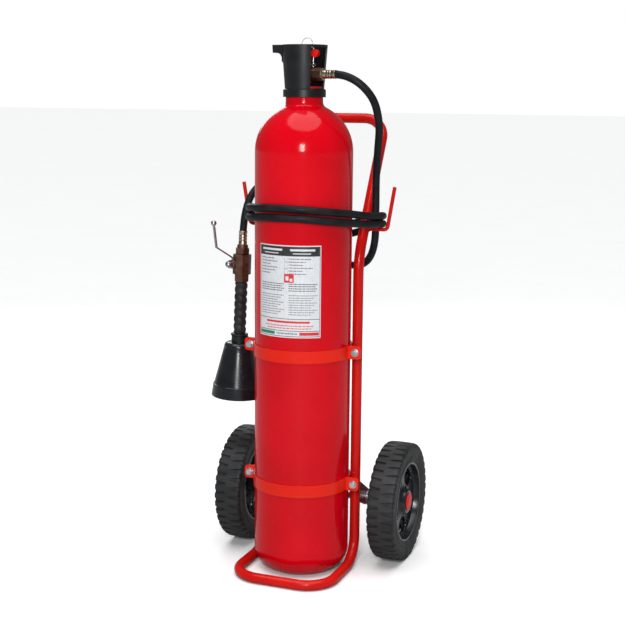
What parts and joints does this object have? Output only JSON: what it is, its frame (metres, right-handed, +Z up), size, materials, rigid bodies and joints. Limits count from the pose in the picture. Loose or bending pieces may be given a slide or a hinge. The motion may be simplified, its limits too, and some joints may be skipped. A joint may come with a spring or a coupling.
{
  "type": "wheeled fire extinguisher",
  "caption": "Tall red gas cylinder on a bent-tube trolley with wheels, a guarded valve, and a hose wound on hooks that ends in a lance with a discharge horn.",
  "frame": {"origin": "on the floor, at the middle of the cylinder's flat foot, under the cylinder's axis", "axes": "+Z up along the cylinder, -Y to the front (label side), +X to the side where the hose leaves the valve"},
  "size_m": [0.4478, 0.404, 1.129],
  "materials": {
    "red_paint": "glossy enamel over steel",
    "band_paint": "semi-gloss paint, slightly more orange than the cylinder",
    "dark_red_paint": "dark red paint",
    "red_plastic": "glossy moulded",
    "zinc_steel": "zinc plated",
    "bronze": "dull brown raw casting",
    "brass": "satin",
    "chrome": "bright plated",
    "black_plastic": "satin moulded",
    "black_gloss": "glossy moulded",
    "rubber": "matt",
    "hose_rubber": "fabric-marked dark grey rubber",
    "tyre": "matt tread",
    "label_film": "printed film",
    "white_plastic": "matt"
  },
  "bodies": {
    "root": {"cylinder": "red_paint", "neck_ring": "red_paint", "dip_tube": "chrome", "valve_body": "bronze", "gland_nut": "brass", "lever_bracket": "brass", "lever_pivot_pin": "chrome", "valve_spring": "chrome", "burst_disc_plug": "brass", "valve_guard": "black_plastic", "outlet_adapter": "bronze", "hose_nut": "brass", "hose_ferrule_top": "brass", "hose": "hose_rubber", "hose_ferrule_end": "brass", "shutoff_inlet_nut": "bronze", "shutoff_body": "bronze", "shutoff_outlet_nut": "bronze", "ball_seats": "white_plastic", "lance_grip": "rubber", "orifice_plug": "brass", "horn_collar": "black_plastic", "discharge_horn": "black_gloss", "horn_holder": "black_plastic", "rail_left": "red_paint", "rail_right": "red_paint", "handle_loop": "red_paint", "base_loop": "red_paint", "axle_plates": "dark_red_paint", "axle": "zinc_steel", "axle_spacers": "zinc_steel", "axle_washers": "zinc_steel", "saddle_upper": "red_paint", "saddle_lower": "red_paint", "band_upper": "band_paint", "band_lower": "band_paint", "band_bolts": "zinc_steel", "band_washers": "zinc_steel", "band_nuts": "zinc_steel", "hose_hook_left": "red_paint", "hose_hook_right": "red_paint", "label": "label_film"},
    "wheel_left": {"tyre_left": "tyre", "rim_left": "black_plastic", "bush_left": "zinc_steel", "hub_cap_left": "red_plastic"},
    "wheel_right": {"tyre_right": "tyre", "rim_right": "black_plastic", "bush_right": "zinc_steel", "hub_cap_right": "red_plastic"},
    "shutoff_handle": {"shutoff_ball": "chrome", "shutoff_lever": "chrome", "lever_knob": "chrome", "lever_cap_nut": "chrome"},
    "squeeze_lever": {"operating_lever": "red_plastic"},
    "stem": {"valve_stem": "chrome", "poppet_seal": "rubber"},
    "retaining_pin": {"safety_pin": "chrome", "pull_ring": "chrome"}
  },
  "joints": [
    {"name": "wheel_left_spin", "type": "hinge", "parent": "root", "child": "wheel_left", "pos_m": [-0.179, 0.123, 0.13], "axis": [1, 0, 0], "continuous": true},
    {"name": "wheel_right_spin", "type": "hinge", "parent": "root", "child": "wheel_right", "pos_m": [0.179, 0.123, 0.13], "axis": [1, 0, 0], "continuous": true},
    {"name": "shutoff_turn", "type": "hinge", "parent": "root", "child": "shutoff_handle", "pos_m": [-0.16897, 0.06, 0.64606], "axis": [0.6686, 0.7431, -0.0269], "range_deg": [0, 90]},
    {"name": "lever_press", "type": "hinge", "parent": "root", "child": "squeeze_lever", "pos_m": [0.008, 0, 1.097], "axis": [0, -1, 0], "range_deg": [0, 18], "stiffness_Nm_per_rad": 1, "springref_deg": -6.88},
    {"name": "stem_slide", "type": "slide", "parent": "root", "child": "stem", "axis": [0, 0, -1], "range_m": [0, 0.0042], "deforming": ["valve_spring"]},
    {"name": "pin_pull", "type": "slide", "parent": "root", "child": "retaining_pin", "axis": [0, 0, 1], "range_m": [0, 0.045]}
  ],
  "couplings": [
    {"joint": "stem_slide", "follows": "lever_press", "m_per_rad": 0.0122}
  ]
}
